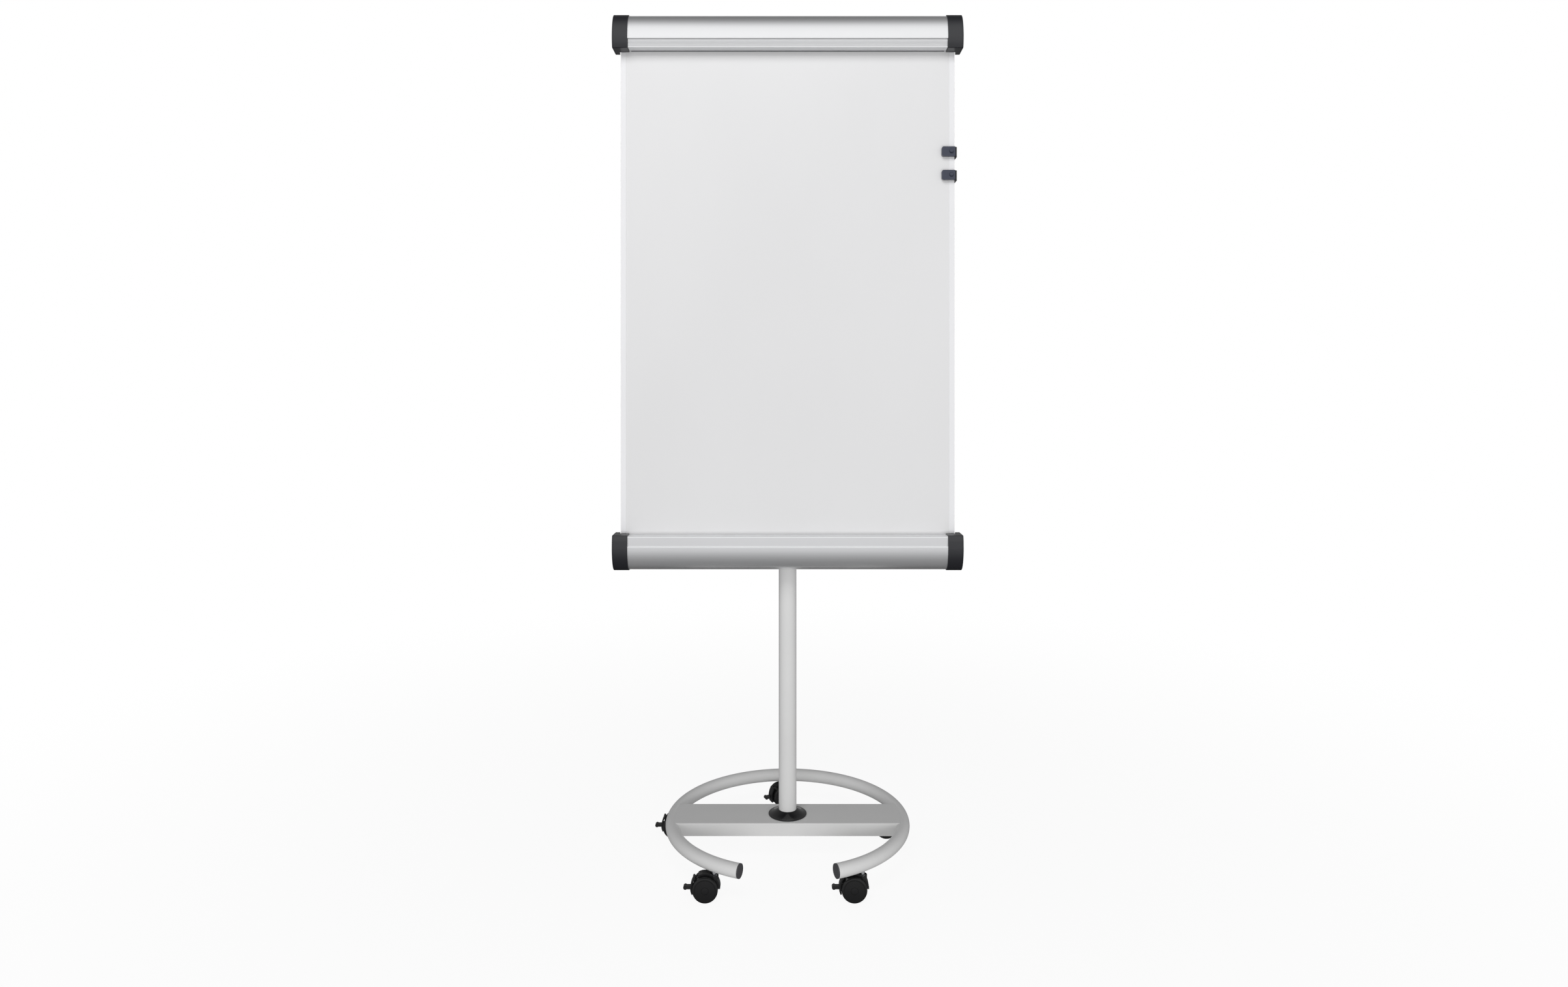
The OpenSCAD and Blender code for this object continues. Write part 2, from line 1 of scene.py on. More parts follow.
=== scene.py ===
"""Looks of the mobile flipchart easel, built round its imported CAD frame.

Metres, +Z up, the board faces -Y.
"""
import json
import math
import bmesh
import bpy
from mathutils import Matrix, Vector
from mathutils.geometry import tessellate_polygon


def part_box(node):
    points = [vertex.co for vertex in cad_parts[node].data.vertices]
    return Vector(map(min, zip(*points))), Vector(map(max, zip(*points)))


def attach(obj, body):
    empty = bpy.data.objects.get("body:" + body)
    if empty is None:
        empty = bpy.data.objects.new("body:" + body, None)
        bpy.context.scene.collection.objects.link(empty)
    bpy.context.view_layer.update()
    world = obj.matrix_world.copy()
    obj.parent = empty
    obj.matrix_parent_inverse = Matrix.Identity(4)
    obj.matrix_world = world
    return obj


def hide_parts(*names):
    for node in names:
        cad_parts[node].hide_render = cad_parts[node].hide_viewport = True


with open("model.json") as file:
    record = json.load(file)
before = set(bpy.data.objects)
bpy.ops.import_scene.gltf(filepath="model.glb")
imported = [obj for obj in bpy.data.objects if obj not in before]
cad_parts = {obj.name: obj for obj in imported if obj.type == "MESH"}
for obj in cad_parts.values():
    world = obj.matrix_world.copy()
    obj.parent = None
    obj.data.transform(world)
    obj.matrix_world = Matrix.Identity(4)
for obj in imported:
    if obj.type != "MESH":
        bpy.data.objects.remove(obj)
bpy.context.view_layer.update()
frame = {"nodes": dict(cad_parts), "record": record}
MM = 0.001


def centre(node):
    low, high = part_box(node)
    return (low + high) / 2


# Places that the pieces are built from, read from the frame
COLUMN = centre("column")
FACE_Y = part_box("writing_sheet")[0].y - 0.05 * MM
CLAMP_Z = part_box("clamp_bar")[0].z
LEDGE_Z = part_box("bottom_rail")[1].z
BOARD_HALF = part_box("edge_trims")[1].x


# ---------------------------------------------------------------- materials

# The part of a noise texture's range where nearly all of its values lie
NOISE_LOW, NOISE_HIGH = 0.35, 0.65


class Nodes:
    """A small helper that builds one procedural material."""

    def __init__(self, name):
        self.material = bpy.data.materials.new(name)
        self.material.use_nodes = True
        self.tree = self.material.node_tree
        self.shader = self.tree.nodes["Principled BSDF"]
        coords = self.tree.nodes.new("ShaderNodeTexCoord")
        self.object_coords = coords.outputs["Object"]

    def set(self, **values):
        for key, value in values.items():
            self.shader.inputs[key.replace("_", " ")].default_value = value

    def link(self, a, b):
        self.tree.links.new(a, b)

    def noise(self, scale, detail=2.0, stretch=(1, 1, 1)):
        mapping = self.tree.nodes.new("ShaderNodeMapping")
        mapping.inputs["Scale"].default_value = stretch
        self.link(self.object_coords, mapping.inputs["Vector"])
        texture = self.tree.nodes.new("ShaderNodeTexNoise")
        texture.inputs["Scale"].default_value = scale
        texture.inputs["Detail"].default_value = detail
        self.link(mapping.outputs["Vector"], texture.inputs["Vector"])
        return texture.outputs["Fac"]

    def ramp(self, source, low, high):
        """Maps a noise value to colours between low and high."""
        node = self.tree.nodes.new("ShaderNodeValToRGB")
        first, last = node.color_ramp.elements
        first.position, last.position = NOISE_LOW, NOISE_HIGH
        first.color = (*low, 1)
        last.color = (*high, 1)
        self.link(source, node.inputs["Fac"])
        return node.outputs["Color"]

    def spread(self, source, low, high):
        """Maps a 0..1 value to the range low..high."""
        node = self.tree.nodes.new("ShaderNodeMapRange")
        node.inputs["To Min"].default_value = low
        node.inputs["To Max"].default_value = high
        self.link(source, node.inputs["Value"])
        return node.outputs["Result"]

    def bump(self, source, strength, distance):
        node = self.tree.nodes.new("ShaderNodeBump")
        node.inputs["Strength"].default_value = strength
        node.inputs["Distance"].default_value = distance
        self.link(source, node.inputs["Height"])
        self.link(node.outputs["Normal"], self.shader.inputs["Normal"])


def tinted(colour, share):
    return tuple(c * share for c in colour)


def paint(name, colour, roughness, grain, depth, spread, coat=0.0, metal=0.0, shine=0.5):
    """A smooth or grained finish: colour and roughness vary a little, and the grain is a fine bump."""
    m = Nodes(name)
    m.set(Metallic=metal, Specular_IOR_Level=shine, Coat_Weight=coat, Coat_Roughness=0.12)
    clouds = m.noise(6.0, 3.0)
    colours = m.ramp(clouds, tinted(colour, 1 - spread), tinted(colour, 1 + spread))
    m.link(colours, m.shader.inputs["Base Color"])
    fine = m.noise(grain)
    m.link(m.spread(fine, roughness * 0.88, roughness * 1.12), m.shader.inputs["Roughness"])
    m.bump(fine, 0.5, depth)
    return m.material


def anodised(name, colour, roughness):
    """Satin anodised extrusion: fine draw lines run along the length."""
    m = Nodes(name)
    m.set(Metallic=0.85)
    lines = m.noise(900.0, 2.0, (0.004, 1, 1))
    soft = m.noise(5.0, 2.0, (0.4, 1, 1))
    m.link(m.ramp(soft, tinted(colour, 0.985), tinted(colour, 1.01)), m.shader.inputs["Base Color"])
    m.link(m.spread(lines, roughness * 0.93, roughness * 1.07), m.shader.inputs["Roughness"])
    m.bump(lines, 0.04, 0.00002)
    return m.material


def enamel(name):
    """Dry-wipe enamel: nearly plain, with the faintest orange peel and wiped clouds."""
    m = Nodes(name)
    m.set(Coat_Weight=0.35, Coat_Roughness=0.08)
    wiped = m.noise(2.2, 4.0, (1, 1, 0.5))
    m.link(m.ramp(wiped, (0.78, 0.78, 0.785), (0.805, 0.805, 0.81)), m.shader.inputs["Base Color"])
    m.link(m.spread(wiped, 0.30, 0.38), m.shader.inputs["Roughness"])
    m.bump(m.noise(260.0, 1.0), 0.12, 0.00005)
    return m.material


# Slot: colour, roughness, scale and depth of the grain, share by which the colour varies, and other values
FINISHES = {
    "powder_coat": ((0.735, 0.735, 0.73), 0.42, 1500, 0.00006, 0.015, {"coat": 0.08}),
    "board_core": ((0.55, 0.55, 0.54), 0.6, 900, 0.00008, 0.03, {}),
    "light_trim": ((0.87, 0.87, 0.885), 0.36, 700, 0.00003, 0.01, {}),
    "anthracite_cap": ((0.0085, 0.009, 0.012), 0.33, 1700, 0.00006, 0.08, {"shine": 0.75}),
    "black_gloss": ((0.008, 0.008, 0.009), 0.16, 500, 0.00001, 0.05, {"coat": 0.2, "shine": 0.35}),
    "black_plastic": ((0.008, 0.008, 0.0085), 0.36, 1500, 0.00006, 0.1, {"shine": 0.4}),
    "wheel_black": ((0.0065, 0.0065, 0.0068), 0.26, 900, 0.00003, 0.1, {"shine": 0.32}),
    "plug_plastic": ((0.058, 0.057, 0.062), 0.5, 1300, 0.00006, 0.05, {}),
    "slate_plastic": ((0.045, 0.051, 0.076), 0.38, 1200, 0.00006, 0.06, {}),
    "zinc_steel": ((0.60, 0.61, 0.63), 0.30, 600, 0.00003, 0.05, {"metal": 1.0}),
    "bush_nylon": ((0.70, 0.70, 0.67), 0.45, 700, 0.00003, 0.02, {}),
    "clamp_rubber": ((0.02, 0.02, 0.021), 0.7, 900, 0.0001, 0.1, {}),
}
MATERIALS = {slot: paint(slot, *values, **others) for slot, (*values, others) in FINISHES.items()}
MATERIALS["board_enamel"] = enamel("board_enamel")
MATERIALS["anodised_rail"] = anodised("anodised_rail", (0.86, 0.865, 0.875), 0.31)


# ---------------------------------------------------------------- mesh helpers

def finish_mesh(name, bm, slot, body, *nodes, smooth=35):
    """Turns a bmesh into a piece with its material, rides it on its body and hides the CAD nodes that it
    stands in for.
    """
    bmesh.ops.recalc_face_normals(bm, faces=bm.faces)
    mesh = bpy.data.meshes.new(name)
    bm.to_mesh(mesh)
    bm.free()
    mesh.materials.append(MATERIALS[slot])
    mesh.shade_smooth()
    mesh.set_sharp_from_angle(angle=math.radians(smooth))
    piece = bpy.data.objects.new(name, mesh)
    bpy.context.scene.collection.objects.link(piece)
    flat = piece.modifiers.new("flat_faces", "WEIGHTED_NORMAL")
    flat.keep_sharp = True
    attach(piece, body)
    if nodes:
        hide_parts(*nodes)


def soften(points, radius, steps, sharp):
    """Rounds the corners of a closed outline that turn by more than sharp degrees."""
    out = []
    count = len(points)
    for i, p in enumerate(points):
        p = Vector(p)
        a = Vector(points[i - 1]) - p
        b = Vector(points[(i + 1) % count]) - p
        turn = 180 - math.degrees(a.angle(b))
        if turn < sharp:
            out.append(tuple(p))
            continue
        reach = min(radius, a.length * 0.45, b.length * 0.45)
        start = p + a.normalized() * reach
        end = p + b.normalized() * reach
        for k in range(steps + 1):
            t = k / steps
            out.append(tuple(start * (1 - t) ** 2 + p * 2 * t * (1 - t) + end * t ** 2))
    return out


def offset(points, d):
    """Moves a closed outline inwards by d."""
    area = sum(a[0] * b[1] - b[0] * a[1] for a, b in zip(points, points[1:] + points[:1]))
    sign = 1 if area > 0 else -1
    out = []
    for i, p in enumerate(points):
        a, p, b = Vector(points[i - 1]), Vector(p), Vector(points[(i + 1) % len(points)])
        u, v = (p - a).normalized(), (b - p).normalized()
        n = Vector((-(u.y + v.y), u.x + v.x)) * sign
        n = n.normalized() if n.length > 1e-9 else Vector((0, 0))
        keep = max(0.5, n.dot(Vector((-v.y, v.x)) * sign))
        out.append(tuple(p + n * (d / keep)))
    return out


def extrude_rings(bm, rings):
    """Joins equal closed rings of 3-D points into a skin, and fills the first and the last."""
    made = [[bm.verts.new(p) for p in ring] for ring in rings]
    count = len(made[0])
    for a, b in zip(made, made[1:]):
        for i in range(count):
            j = (i + 1) % count
            bm.faces.new((a[i], a[j], b[j], b[i]))
    for ring in (made[0], made[-1]):
        for tri in tessellate_polygon([[v.co for v in ring]]):
            bm.faces.new([ring[k] for k in tri])


def rail_ring(outline, x, z0, up):
    """A rail outline of (depth in front of the board, distance from its middle) in mm, as 3-D points at x."""
    return [(x, FACE_Y - f * MM, z0 + up * h * MM) for f, h in outline]


def lathe(bm, profile, origin, axis, segments):
    """Turns a closed outline of (radius, distance along the axis) in mm about an axis."""
    axis = Vector(axis).normalized()
    side = axis.orthogonal().normalized()
    other = axis.cross(side)
    rings = []
    for k in range(segments):
        t = 2 * math.pi * k / segments
        d = side * math.cos(t) + other * math.sin(t)
        rings.append([bm.verts.new(Vector(origin) + (d * r + axis * s) * MM) for r, s in profile])
    count = len(profile)
    for k in range(segments):
        a, b = rings[k], rings[(k + 1) % segments]
        for i in range(count):
            j = (i + 1) % count
            if profile[i][0] > 0 or profile[j][0] > 0:
                bm.faces.new((a[i], a[j], b[j], b[i]))
    bmesh.ops.remove_doubles(bm, verts=bm.verts, dist=1e-7)


def quarter_turn(middle, radius, steps):
    """Points on a quarter circle of (radius, distance), from outside round to the side."""
    turns = [math.pi / 2 * k / steps for k in range(steps + 1)]
    return [(middle[0] + radius * math.cos(t), middle[1] + radius * math.sin(t)) for t in turns]


# ---------------------------------------------------------------- camera, light, floor

LENS = 23.17
LENS_SHIFT = -0.072
CAMERA_FROM_COLUMN = (-0.0077, -2.174)
CAMERA_HEIGHT = 1.014

# (height of the direction from 0 straight down to 1 straight up, grey)
DIFFUSE_SKY = [(0.0, 0.44), (1.0, 0.1), (0.45, 0.77), (0.62, 0.53), (0.8, 0.25)]
GLOSS_SKY = [(0.0, 0.1), (1.0, 0.06), (0.2, 0.2), (0.38, 0.8), (0.46, 0.56), (0.51, 0.5),
             (0.575, 2.3), (0.63, 1.9), (0.75, 1.12), (0.87, 1.2), (0.95, 0.3)]
GLOSS_BEHIND = 0.3

FLOOR_RADIUS = 30
FLOOR_DROP = 0.0002
FLOOR_GLOW = 0.42
FLOOR_WHITE = 0.92
FLOOR_FADE = (0.2, 2.6)

# name, place, target, size, power
LIGHTS = (
    ("key", (-0.4, -2.2, 2.9), (0, 0, 1.7), (1.6, 1.2), 30),
    ("fill", (0.3, -2.8, 0.32), (0, 0, 0.12), (2.0, 0.6), 26),
)


def make_camera():
    data = bpy.data.cameras.new("camera")
    data.sensor_width = 36
    data.lens = LENS
    data.shift_y = LENS_SHIFT
    camera = bpy.data.objects.new("camera", data)
    aside, away = CAMERA_FROM_COLUMN
    camera.location = (COLUMN.x + aside, COLUMN.y + away, CAMERA_HEIGHT)
    camera.rotation_euler = (math.radians(90), 0, 0)
    bpy.context.scene.collection.objects.link(camera)
    bpy.context.scene.camera = camera


def area_light(name, place, target, size, power):
    data = bpy.data.lights.new(name, "AREA")
    data.shape = "RECTANGLE"
    data.size, data.size_y = size
    data.energy = power
    light = bpy.data.objects.new(name, data)
    light.location = place
    light.rotation_euler = (Vector(target) - Vector(place)).to_track_quat("-Z", "Y").to_euler()
    light.visible_glossy = False
    bpy.context.scene.collection.objects.link(light)


def by_direction(tree, coords, levels, behind=1.0):
    """A background whose grey follows the height of the direction, and falls behind the easel."""
    split = tree.nodes.new("ShaderNodeSeparateXYZ")
    tree.links.new(coords, split.inputs["Vector"])
    height = tree.nodes.new("ShaderNodeMapRange")
    height.inputs["From Min"].default_value = -1
    tree.links.new(split.outputs["Z"], height.inputs["Value"])
    ramp = tree.nodes.new("ShaderNodeValToRGB")
    ramp.color_ramp.interpolation = "B_SPLINE"
    for k, (place, grey) in enumerate(levels):
        element = ramp.color_ramp.elements[k] if k < 2 else ramp.color_ramp.elements.new(place)
        element.position = place
        element.color = (grey, grey, grey * 1.01, 1)
    tree.links.new(height.outputs["Result"], ramp.inputs["Fac"])
    rear = tree.nodes.new("ShaderNodeMapRange")
    rear.interpolation_type = "SMOOTHSTEP"
    for key, value in (("From Min", -0.25), ("From Max", 0.45), ("To Min", 1.0), ("To Max", behind)):
        rear.inputs[key].default_value = value
    tree.links.new(split.outputs["Y"], rear.inputs["Value"])
    background = tree.nodes.new("ShaderNodeBackground")
    tree.links.new(ramp.outputs["Color"], background.inputs["Color"])
    tree.links.new(rear.outputs["Result"], background.inputs["Strength"])
    return background


def make_world():
    """White backdrop that lights most from the horizon, and is dark above and below for gloss."""
    world = bpy.data.worlds.new("studio")
    bpy.context.scene.world = world
    world.cycles.sampling_method = "NONE"
    world.use_nodes = True
    tree = world.node_tree
    tree.nodes.clear()
    coords = tree.nodes.new("ShaderNodeTexCoord").outputs["Generated"]
    rays = tree.nodes.new("ShaderNodeLightPath")
    shader = by_direction(tree, coords, DIFFUSE_SKY)
    gloss = by_direction(tree, coords, GLOSS_SKY, GLOSS_BEHIND)
    seen = tree.nodes.new("ShaderNodeBackground")
    seen.inputs["Color"].default_value = (1, 1, 1, 1)
    for ray, background in (("Is Glossy Ray", gloss), ("Is Camera Ray", seen)):
        mix = tree.nodes.new("ShaderNodeMixShader")
        tree.links.new(rays.outputs[ray], mix.inputs["Fac"])
        tree.links.new(shader.outputs[0], mix.inputs[1])
        tree.links.new(background.outputs[0], mix.inputs[2])
        shader = mix
    out = tree.nodes.new("ShaderNodeOutputWorld")
    tree.links.new(shader.outputs[0], out.inputs["Surface"])


def make_floor():
    """A pale floor that fades into the backdrop away from the easel, and glows less for what it lights."""
    bm = bmesh.new()
    bmesh.ops.create_circle(bm, cap_ends=True, segments=96, radius=FLOOR_RADIUS)
    mesh = bpy.data.meshes.new("floor")
    bm.to_mesh(mesh)
    bm.free()
    m = Nodes("floor")
    m.set(Roughness=0.8, Specular_IOR_Level=0.1)
    m.link(m.ramp(m.noise(0.8), (0.9, 0.9, 0.9), (0.93, 0.93, 0.93)), m.shader.inputs["Base Color"])
    rays = m.tree.nodes.new("ShaderNodeLightPath")
    glow = m.tree.nodes.new("ShaderNodeEmission")
    m.link(m.spread(rays.outputs["Is Camera Ray"], FLOOR_GLOW, 1.0), glow.inputs["Strength"])
    away = m.tree.nodes.new("ShaderNodeVectorMath")
    away.operation = "LENGTH"
    m.link(m.object_coords, away.inputs[0])
    fade = m.tree.nodes.new("ShaderNodeMapRange")
    fade.interpolation_type = "SMOOTHSTEP"
    fade.inputs["From Min"].default_value, fade.inputs["From Max"].default_value = FLOOR_FADE
    fade.inputs["To Min"].default_value = FLOOR_WHITE
    m.link(away.outputs["Value"], fade.inputs["Value"])
    mix = m.tree.nodes.new("ShaderNodeMixShader")
    m.link(fade.outputs["Result"], mix.inputs["Fac"])
    m.link(m.shader.outputs[0], mix.inputs[1])
    m.link(glow.outputs[0], mix.inputs[2])
    m.link(mix.outputs[0], m.tree.nodes["Material Output"].inputs["Surface"])
    mesh.materials.append(m.material)
    floor = bpy.data.objects.new("floor", mesh)
    floor.location = (0, 0, -FLOOR_DROP)
    floor.visible_glossy = False
    bpy.context.scene.collection.objects.link(floor)


bpy.context.scene.view_settings.view_transform = "Standard"
make_camera()
make_world()
make_floor()
for light in LIGHTS:
    area_light(*light)

# ---------------------------------------------------------------- rails, paper clamp and end caps

# The rails' cross-section in mm: depth in front of the board, and distance from the rail's inner side
RAIL_H = 73.0
BULGE = 30.5
LEDGE = 26.6
BAND_OUT = 28.0
TOP_BAND = 16.0
BOTTOM_BAND = 20.5
ARC_STEP = 1.5
WALL = 1.6
BOARD_T = 14.0
CHANNEL_BACK = -BOARD_T - 1.5
CHANNEL_LOW = 38.0
SLIT_H, SLIT_HALF = 36.0, 0.02

# The clamp bar's ribs, and the bead at its top that it turns on
RIBS = 8
RIB_START = 1.6
GROOVE_DEPTH = 0.28
GROOVE_STEPS = 6
BEAD_R = 2.8
BEAD_STEPS = 16
BEAD_END = math.radians(232)
CLAMP_PIVOT = (25.6, TOP_BAND + 2.2)
STRIP_SLOT = (3.2, 4.8, 5)

# The end caps: wall over the rail, corner and edge radius, and places along the rail from the board's edge
CAP_SHELL = 2.0
CAP_BACK = CHANNEL_BACK - CAP_SHELL
CAP_CORNER, CAP_CORNER_STEPS, CAP_SHARP = 1.6, 5, 30
CAP_EDGE_R, CAP_EDGE_STEPS = 1.3, 5
CAP_SEAM = 2.6
CAP_INNER, CAP_PAST, CAP_FULL, CAP_OUTER = -18.0, 0.3, 4.0, 14.0
RAIL_PAST = 9.8 * MM


def ellipse(depth, height, low, steps=56):
    """Quarter ellipse from its deepest point up to the board's face."""
    turn = math.pi / 2 / steps
    return [(depth * math.cos(i * turn), low + (height - low) * math.sin(i * turn)) for i in range(steps + 1)]


def ribbed_band():
    """The clamp bar's slanted front from its underside outwards, with grooves between the ribs."""
    slope = (BAND_OUT - LEDGE) / TOP_BAND
    pitch = (TOP_BAND - 3.4) / RIBS
    out = [(LEDGE - 0.5, 0.0), (LEDGE - 0.12, 0.12), (LEDGE + 0.02, 0.5)]
    for i in range(RIBS):
        for k in range(GROOVE_STEPS):
            share = k / GROOVE_STEPS
            h = RIB_START + (i + share) * pitch
            groove = GROOVE_DEPTH * max(0.0, math.sin(math.pi * share)) ** 1.5
            out.append((LEDGE + slope * h - groove, h))
    end = RIB_START + RIBS * pitch
    return out + [(LEDGE + slope * end, end), (BAND_OUT - 0.05, TOP_BAND - 0.5)]


def arc(low):
    """Outer and inner curve of a rail's front wall."""
    inner = [p for p in ellipse(BULGE - WALL, RAIL_H - WALL, low) if p[0] > WALL + 0.2]
    outer = [p for p in ellipse(BULGE, RAIL_H, low) if p[1] > low + 0.6]
    return outer, inner


def channel():
    """The rail's back: the channel that holds the board's edge, down to the web on its face."""
    rear, low = CHANNEL_BACK, CHANNEL_LOW
    return [(rear + 0.6, RAIL_H), (rear + 0.15, RAIL_H - 0.15), (rear, RAIL_H - 0.6), (rear, low + 0.3),
            (rear + 0.2, low), (-BOARD_T - 0.2, low), (-BOARD_T, low + 0.2), (-BOARD_T, RAIL_H - 1.5),
            (0, RAIL_H - 1.5)]


def top_rail_outline():
    """Arc with a rolled lower lip, the web on the board's face and the channel behind the board."""
    low = TOP_BAND + ARC_STEP
    outer, inner = arc(low)
    lip = [(BULGE - WALL + 0.1, low + 0.1), (BULGE - WALL + 0.35, low - 0.15), (BULGE - 0.4, low - 0.15),
           (BULGE - 0.1, low + 0.1), (BULGE, low + 0.5)]
    return lip + outer + channel() + [(0, 6), (WALL, 6)] + list(reversed(inner))


def bottom_rail_outline():
    """The same arc as the top rail's, with the pen ledge and a plain band joined on.

    The hollow opens in a hair-thin slit against the board's face, so that one outline goes round it.
    """
    band, low = BOTTOM_BAND, BOTTOM_BAND + ARC_STEP
    outer, inner = arc(low)
    nose = [(LEDGE - 0.6, 0.0), (LEDGE + 0.25, 0.2), (LEDGE + 0.85, 0.75), (BAND_OUT - 0.12, 1.8),
            (BAND_OUT, 3.2), (BAND_OUT - 0.1, band - 0.3)]
    step = [(BAND_OUT - 0.05, band), (BAND_OUT + 0.15, band + 0.55), (BULGE - 0.9, band + 0.75),
            (BULGE - 0.35, band + 1.0), (BULGE - 0.08, low + 0.1)]
    hollow = list(reversed(inner)) + [(BAND_OUT - WALL, band - 0.3), (LEDGE - 1.6, WALL), (WALL, WALL)]
    slit_top, slit_low = SLIT_H + SLIT_HALF, SLIT_H - SLIT_HALF
    return (nose + step + outer + channel() + [(0, slit_top), (WALL, slit_top)] + hollow
            + [(WALL, slit_low), (0, slit_low), (0, 0)])


def clamp_bar_outline():
    """Ribbed band, underside and the round bead at the top that the bar turns on."""
    start = math.atan2(TOP_BAND - 0.4 - CLAMP_PIVOT[1], BAND_OUT - CLAMP_PIVOT[0])
    bead = []
    for k in range(BEAD_STEPS + 1):
        t = start + (BEAD_END - start) * k / BEAD_STEPS
        bead.append((CLAMP_PIVOT[0] + BEAD_R * math.cos(t), CLAMP_PIVOT[1] + BEAD_R * math.sin(t)))
    near, far, deep = STRIP_SLOT
    inside = [(BAND_OUT - 2.1, TOP_BAND - 2), (LEDGE - 1.6, WALL), (far, WALL), (far, deep), (near, deep),
              (near, 0)]
    return ribbed_band() + bead + inside


def cap_front(band):
    """A cap's outline from its nose over the front to the rear of its top; both end corners are rounded."""
    m = CAP_SHELL
    nose = [(8.0, -m), (LEDGE + m, -m), (LEDGE + m + 1.2, 2.0), (LEDGE + m + 2.4, 6.0)]
    front = [(BULGE + m - 0.75, 11.0), (BULGE + m - 0.2, band + 1.0)]
    crown = ellipse(BULGE + m, RAIL_H + m, band + 4.0, 40)[:-1] + [(0, RAIL_H + m), (CAP_BACK, RAIL_H + m)]
    corners = nose + front + crown + [(CAP_BACK, 50.0)]
    ends = CAP_CORNER_STEPS + 1
    return soften(corners, CAP_CORNER, CAP_CORNER_STEPS, CAP_SHARP)[ends:-ends]


def cap_sections(band):
    """Three cross-sections: over the board, just past its edge, and where the cap covers its thickness."""
    m, rear, low = CAP_SHELL, CAP_BACK, CHANNEL_LOW - CAP_SHELL
    top = cap_front(band)
    over = [(0.1, -m)] + top + [(rear, low), (-BOARD_T - 0.2, low), (-BOARD_T - 0.2, 50), (0.1, 50)]
    past = [(0.1, -m)] + top + [(rear, low), (0.1, low)]
    full = [(8.0, -m)] + top + [(rear, -m + 1.2), (rear + 0.4, -m + 0.3), (rear + 1.4, -m)]
    return over, past, full


def rounded_end(bm, outline, x0, x1, place):
    """Extrudes an outline along X with a fine groove near its outer end, whose edge is rounded."""
    rings = [place(outline, x0)]
    for dx, inset in ((-0.3, 0), (-0.15, 0.35), (0.15, 0.35), (0.3, 0)):
        rings.append(place(offset(outline, inset) if inset else outline, x1 - CAP_SEAM + dx))
    for k in range(CAP_EDGE_STEPS + 1):
        t = math.pi / 2 * k / CAP_EDGE_STEPS
        inset = CAP_EDGE_R * (1 - math.cos(t))
        x = x1 - CAP_EDGE_R * (1 - math.sin(t))
        rings.append(place(offset(outline, inset) if k else outline, x))
    extrude_rings(bm, rings)


def cap(name, side, z0, up, band):
    """End cap: a shell on the rail's end and a block past the board's edge that covers its thickness."""
    edge = BOARD_HALF / MM

    def place(outline, x):
        return rail_ring(outline, side * (edge + x) * MM, z0, up)

    over, past, full = cap_sections(band)
    bm = bmesh.new()
    extrude_rings(bm, [place(offset(over, 0.5), CAP_INNER), place(offset(over, 0.12), CAP_INNER + 0.2),
                       place(over, CAP_INNER + 0.6), place(over, CAP_PAST)])
    extrude_rings(bm, [place(past, CAP_PAST), place(past, CAP_FULL)])
    rounded_end(bm, full, CAP_FULL, CAP_OUTER, place)
    finish_mesh(name + "_shell", bm, "anthracite_cap", "board", name, smooth=40)


def extrusion(node, body, outline, low, high, z0, up=1):
    """A rail from low to high along X, in place of its CAD node."""
    bm = bmesh.new()
    extrude_rings(bm, [rail_ring(outline, low, z0, up), rail_ring(outline, high, z0, up)])
    finish_mesh(node + "_extrusion", bm, "anodised_rail", body, node, smooth=28)


def build_rails():
    reach = BOARD_HALF + RAIL_PAST
    extrusion("top_rail", "board", top_rail_outline(), -reach, reach, CLAMP_Z)
    extrusion("bottom_rail", "board", bottom_rail_outline(), -reach, reach, LEDGE_Z, -1)
    low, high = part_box("clamp_bar")
    extrusion("clamp_bar", "clamp", clamp_bar_outline(), low.x, high.x, CLAMP_Z)
    for side, word in ((-1, "left"), (1, "right")):
        cap(f"top_cap_{word}", side, CLAMP_Z, 1, TOP_BAND)
        cap(f"bottom_cap_{word}", side, LEDGE_Z, -1, BOTTOM_BAND)


# ---------------------------------------------------------------- refined copies of CAD pieces

FLAT_ANGLE = math.radians(0.6)
SHARP_ANGLE = math.radians(28)


def refined(nodes, body, slot, bevel, segments=2):
    """Copies CAD nodes to a new piece, merges their flat triangles and rounds their sharp edges."""
    bm = bmesh.new()
    for node in nodes:
        bm.from_mesh(frame["nodes"][node].data)
    bmesh.ops.remove_doubles(bm, verts=bm.verts, dist=2e-6)
    bmesh.ops.dissolve_limit(bm, angle_limit=FLAT_ANGLE, verts=bm.verts, edges=bm.edges)
    sharp = [e for e in bm.edges if len(e.link_faces) == 2 and e.calc_face_angle() > SHARP_ANGLE]
    bmesh.ops.bevel(bm, geom=sharp, offset=bevel * MM, segments=segments, profile=0.5, affect="EDGES",
                    clamp_overlap=True, loop_slide=True)
    bmesh.ops.triangulate(bm, faces=[f for f in bm.faces if len(f.verts) > 4])
    finish_mesh(nodes[0] + "_fine", bm, slot, body, *nodes)


# ---------------------------------------------------------------- casters, base and column

CASTERS = ("front_left", "front_right", "side_left", "side_right", "rear")
JOINTS = {joint["name"]: joint for joint in frame["record"]["behaviour"]["joints"]}

# One of a caster's two wheels in mm: radii, and distances from the caster's middle
WHEEL_R = 25.0
WHEEL_BORE_R = 3.1
WHEEL_INSIDE = 9.9
TYRE_SIDE = 19.4
SHOULDER_R = 3.5
HUB_SIDE = 20.6
BORE_END = 18.3
RIM_LINE = [(20.7, TYRE_SIDE), (20.5, 18.9), (20.1, 18.85), (19.9, 19.3), (19.6, TYRE_SIDE)]
HUB_RING = [(12.0, 20.0), (7.6, 20.25), (7.3, 19.9), (7.0, 19.9), (6.7, 20.35), (5.8, HUB_SIDE)]

# The ring reaches this far to each side of its rear
RING_HALF_TURN = math.radians(157.5)
RING_STEPS = 144
TUBE_SIDES = 48
COLUMN_WALL = 2


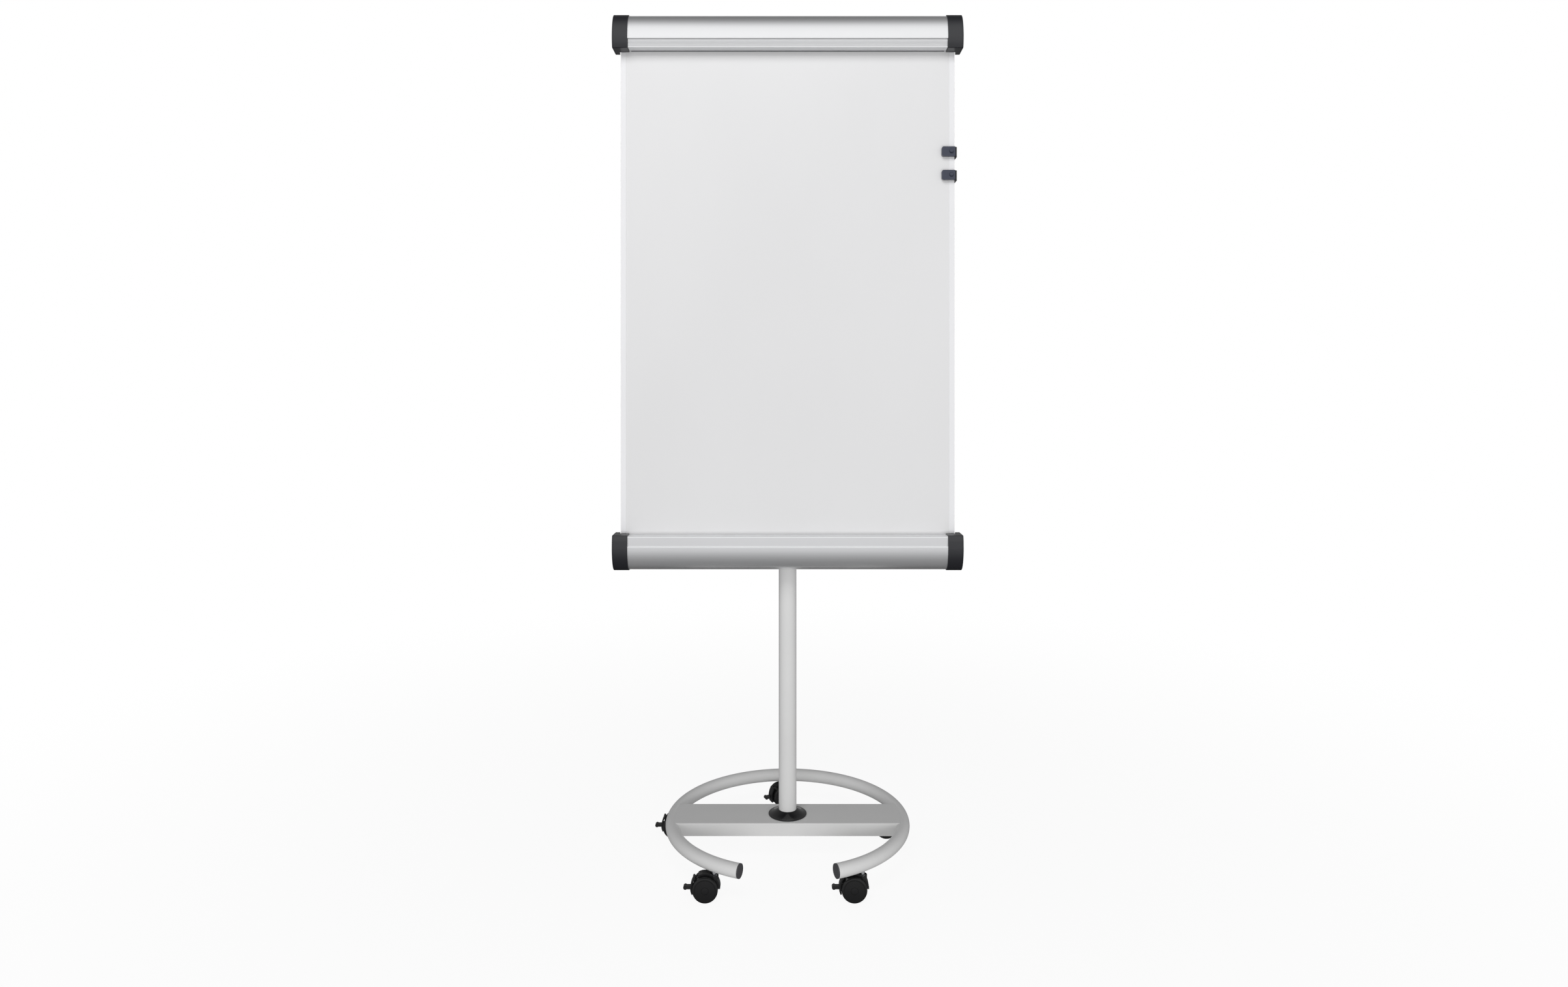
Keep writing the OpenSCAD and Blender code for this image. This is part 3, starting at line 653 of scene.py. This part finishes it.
def wheel_outline():
    """One twin wheel: a tyre with round shoulders, a fine line round the rim and a low hub cap."""
    shoulder = quarter_turn((WHEEL_R - SHOULDER_R, TYRE_SIDE - SHOULDER_R), SHOULDER_R, 8)
    return ([(WHEEL_BORE_R, WHEEL_INSIDE), (WHEEL_R - 0.7, WHEEL_INSIDE), (WHEEL_R, WHEEL_INSIDE + 0.7)]
            + shoulder + RIM_LINE + HUB_RING + [(0.0, HUB_SIDE), (0.0, BORE_END), (WHEEL_BORE_R, BORE_END)])


def build_casters():
    for place in CASTERS:
        axis = Vector(JOINTS[f"{place}_roll"]["axis"])
        bm = bmesh.new()
        for way in (1, -1):
            lathe(bm, wheel_outline(), centre(f"caster_{place}_axle"), axis * way, 72)
        finish_mesh(f"caster_{place}_twin_wheels", bm, "wheel_black", f"caster_{place}_wheel_pair",
                    f"caster_{place}_wheels", smooth=40)
        refined([f"caster_{place}_hood"], f"caster_{place}", "black_plastic", 0.7)
        refined([f"caster_{place}_brake"], f"caster_{place}_lever", "black_plastic", 0.6)


def build_ring():
    """The C-shaped tube, swept round the column with its gap at the front."""
    low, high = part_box("base_ring")
    tube_r = (high.z - low.z) / 2
    ring_r = (high.x - low.x) / 2 - tube_r
    mid = Vector((COLUMN.x, COLUMN.y, (low.z + high.z) / 2))
    around = [2 * math.pi * i / TUBE_SIDES for i in range(TUBE_SIDES)]
    rings = []
    for k in range(RING_STEPS + 1):
        t = -RING_HALF_TURN + 2 * RING_HALF_TURN * k / RING_STEPS
        out = Vector((math.sin(t), math.cos(t), 0))
        rings.append([mid + out * (ring_r + tube_r * math.cos(a)) + Vector((0, 0, tube_r * math.sin(a)))
                      for a in around])
    bm = bmesh.new()
    extrude_rings(bm, rings)
    finish_mesh("ring_tube", bm, "powder_coat", "base", "base_ring", smooth=50)


def build_column():
    low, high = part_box("column")
    r = (high.x - low.x) / 2 / MM
    z0 = (low.z - COLUMN.z) / MM
    z1 = (high.z - COLUMN.z) / MM
    bm = bmesh.new()
    profile = [(r - COLUMN_WALL, z0), (r, z0), (r, z1 - 0.4), (r - 0.4, z1), (r - COLUMN_WALL, z1)]
    lathe(bm, profile, COLUMN, (0, 0, 1), 96)
    finish_mesh("column_tube", bm, "powder_coat", "base", "column", smooth=50)


def build_base():
    build_ring()
    refined(["cross_beam"], "base", "powder_coat", 0.5)
    refined(["ring_plugs"], "base", "plug_plastic", 0.8)
    refined(["flared_collar"], "base", "black_gloss", 0.3)
    refined(["column_top_cap"], "base", "black_plastic", 0.8)
    build_column()


def build_fittings():
    for node, slot, size in (("edge_trims", "light_trim", 0.3), ("upper_bracket", "black_plastic", 1.0),
                             ("lower_bracket", "black_plastic", 1.0), ("rear_spine", "zinc_steel", 0.5)):
        refined([node], "board", slot, size)
    refined(["clamp_knob"], "knob", "black_plastic", 1.0, segments=3)
    for word in ("left", "right"):
        refined([f"pad_hook_{word}"], f"hook_{word}", "black_plastic", 0.5)
    for word in ("upper", "lower"):
        refined([f"{word}_clip_block"], f"clip_{word}", "slate_plastic", 0.8, segments=3)
        refined([f"{word}_clip_jaw"], f"clip_{word}", "black_plastic", 0.5)


build_rails()
build_casters()
build_base()
build_fittings()

# Every CAD node gets the material of its slot; the pieces above stand for some of them
for part in frame["record"]["subparts"]:
    node = frame["nodes"][part["node"]]
    node.data.materials.clear()
    node.data.materials.append(MATERIALS[part["material_slot"]])
